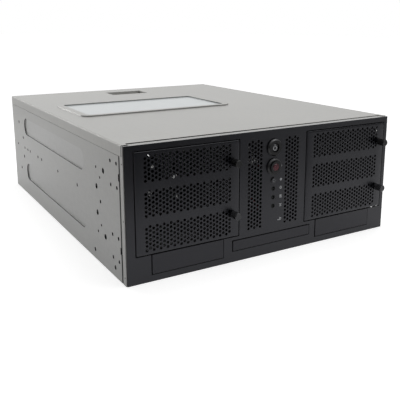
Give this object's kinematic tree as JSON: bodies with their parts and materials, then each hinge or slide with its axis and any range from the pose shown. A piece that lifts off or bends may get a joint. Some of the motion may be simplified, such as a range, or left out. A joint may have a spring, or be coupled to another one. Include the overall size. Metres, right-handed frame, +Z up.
{
  "type": "empty rackmount server case",
  "caption": "Four-unit rack case with a folded steel tray, lift-off lid, black front with two perforated hinged doors, control column, drive cages and fans.",
  "frame": {"origin": "centre of the underside, midway between the front plate's face and the rear edge", "axes": "+X to the right seen from the front, +Y from the front to the rear, +Z up"},
  "size_m": [0.43, 0.5705, 0.177],
  "materials": {
    "zinc_steel": "satin",
    "cover_steel": "satin",
    "film": "gloss",
    "black_steel": "satin",
    "black_plastic": "matte",
    "fan_plastic": "matte",
    "knob_black": "satin",
    "knob_steel": "satin",
    "collar_black": "satin",
    "cap_black": "gloss",
    "cap_red": "gloss",
    "lamp": "gloss",
    "board_green": "satin",
    "brass": "satin",
    "white_plastic": "satin",
    "red_plastic": "satin"
  },
  "bodies": {
    "case": {"board_posts": "brass", "card_bar": "zinc_steel", "chassis_tray": "zinc_steel", "control_board": "board_green", "fan_bulkhead": "zinc_steel", "front_frame": "zinc_steel", "front_plate": "black_steel", "lead_plug": "white_plastic", "left_bay_bracket": "zinc_steel", "left_bay_cover": "black_plastic", "left_catch_rail": "black_steel", "left_drive_cage": "zinc_steel", "left_fan_frame": "fan_plastic", "left_frame_tie": "zinc_steel", "left_hinge_rail": "black_steel", "middle_fan_frame": "fan_plastic", "power_lead": "white_plastic", "power_switch": "collar_black", "psu_shelf": "zinc_steel", "rear_inner_fan_frame": "fan_plastic", "rear_outer_fan_frame": "fan_plastic", "rear_panel": "zinc_steel", "red_lead": "red_plastic", "reset_switch": "collar_black", "right_bay_bracket": "zinc_steel", "right_bay_cover": "black_plastic", "right_catch_rail": "black_steel", "right_drive_cage": "zinc_steel", "right_fan_frame": "fan_plastic", "right_frame_tie": "zinc_steel", "right_hinge_rail": "black_steel", "slim_bay_bracket": "zinc_steel", "slim_bay_cover": "black_plastic", "slot_covers": "zinc_steel", "standoffs": "brass", "status_lamp_1": "lamp", "status_lamp_2": "lamp", "status_lamp_3": "lamp", "white_lead": "white_plastic"},
    "cover": {"top_cover": "cover_steel", "cover_film": "film"},
    "left_door": {"left_door": "black_steel"},
    "right_door": {"right_door": "black_steel"},
    "left_cover_screw": {"left_cover_screw": "knob_steel"},
    "left_fan_rotor": {"left_fan_rotor": "fan_plastic"},
    "left_lower_screw": {"left_lower_screw": "knob_black"},
    "left_upper_screw": {"left_upper_screw": "knob_black"},
    "middle_fan_rotor": {"middle_fan_rotor": "fan_plastic"},
    "power_button": {"power_button": "cap_black"},
    "rear_inner_fan_rotor": {"rear_inner_fan_rotor": "fan_plastic"},
    "rear_outer_fan_rotor": {"rear_outer_fan_rotor": "fan_plastic"},
    "reset_button": {"reset_button": "cap_red"},
    "right_cover_screw": {"right_cover_screw": "knob_steel"},
    "right_fan_rotor": {"right_fan_rotor": "fan_plastic"},
    "right_lower_screw": {"right_lower_screw": "knob_black"},
    "right_upper_screw": {"right_upper_screw": "knob_black"},
    "small_button": {"small_button": "cap_black"}
  },
  "joints": [
    {"name": "cover_lift", "type": "slide", "parent": "case", "child": "cover", "axis": [0, 0, 1], "range_m": [0, 0.22]},
    {"name": "left_door_hinge", "type": "hinge", "parent": "case", "child": "left_door", "pos_m": [-0.195, -0.2708, 0.10095], "axis": [0, 0, -1], "range_deg": [0, 110]},
    {"name": "left_lower_screw_turn", "type": "hinge", "parent": "left_door", "child": "left_lower_screw", "pos_m": [-0.063, -0.274, 0.0675], "axis": [0, -1, 0], "range_deg": [0, 1440]},
    {"name": "left_upper_screw_turn", "type": "hinge", "parent": "left_door", "child": "left_upper_screw", "pos_m": [-0.063, -0.274, 0.1375], "axis": [0, -1, 0], "range_deg": [0, 1440]},
    {"name": "right_door_hinge", "type": "hinge", "parent": "case", "child": "right_door", "pos_m": [0.065, -0.2708, 0.10095], "axis": [0, 0, -1], "range_deg": [0, 110]},
    {"name": "right_lower_screw_turn", "type": "hinge", "parent": "right_door", "child": "right_lower_screw", "pos_m": [0.197, -0.274, 0.0675], "axis": [0, -1, 0], "range_deg": [0, 1440]},
    {"name": "right_upper_screw_turn", "type": "hinge", "parent": "right_door", "child": "right_upper_screw", "pos_m": [0.197, -0.274, 0.1375], "axis": [0, -1, 0], "range_deg": [0, 1440]},
    {"name": "left_cover_screw_turn", "type": "hinge", "parent": "case", "child": "left_cover_screw", "pos_m": [-0.172, 0.274, 0.1675], "axis": [0, 1, 0], "range_deg": [0, 1440]},
    {"name": "right_cover_screw_turn", "type": "hinge", "parent": "case", "child": "right_cover_screw", "pos_m": [0.172, 0.274, 0.1675], "axis": [0, 1, 0], "range_deg": [0, 1440]},
    {"name": "power_press", "type": "slide", "parent": "case", "child": "power_button", "axis": [0, 1, 0], "range_m": [0, 0.0025], "stiffness_N_per_m": 400, "springref_m": -0.001},
    {"name": "reset_press", "type": "slide", "parent": "case", "child": "reset_button", "axis": [0, 1, 0], "range_m": [0, 0.0025], "stiffness_N_per_m": 400, "springref_m": -0.001},
    {"name": "small_press", "type": "slide", "parent": "case", "child": "small_button", "axis": [0, 1, 0], "range_m": [0, 0.001], "stiffness_N_per_m": 500, "springref_m": -0.001},
    {"name": "left_fan_spin", "type": "hinge", "parent": "case", "child": "left_fan_rotor", "pos_m": [-0.13, -0.074, 0.072], "axis": [0, 1, 0], "continuous": true},
    {"name": "middle_fan_spin", "type": "hinge", "parent": "case", "child": "middle_fan_rotor", "pos_m": [0, -0.074, 0.072], "axis": [0, 1, 0], "continuous": true},
    {"name": "right_fan_spin", "type": "hinge", "parent": "case", "child": "right_fan_rotor", "pos_m": [0.13, -0.074, 0.072], "axis": [0, 1, 0], "continuous": true},
    {"name": "rear_inner_fan_spin", "type": "hinge", "parent": "case", "child": "rear_inner_fan_rotor", "pos_m": [-0.008, 0.259, 0.108], "axis": [0, 1, 0], "continuous": true},
    {"name": "rear_outer_fan_spin", "type": "hinge", "parent": "case", "child": "rear_outer_fan_rotor", "pos_m": [0.074, 0.259, 0.108], "axis": [0, 1, 0], "continuous": true}
  ]
}
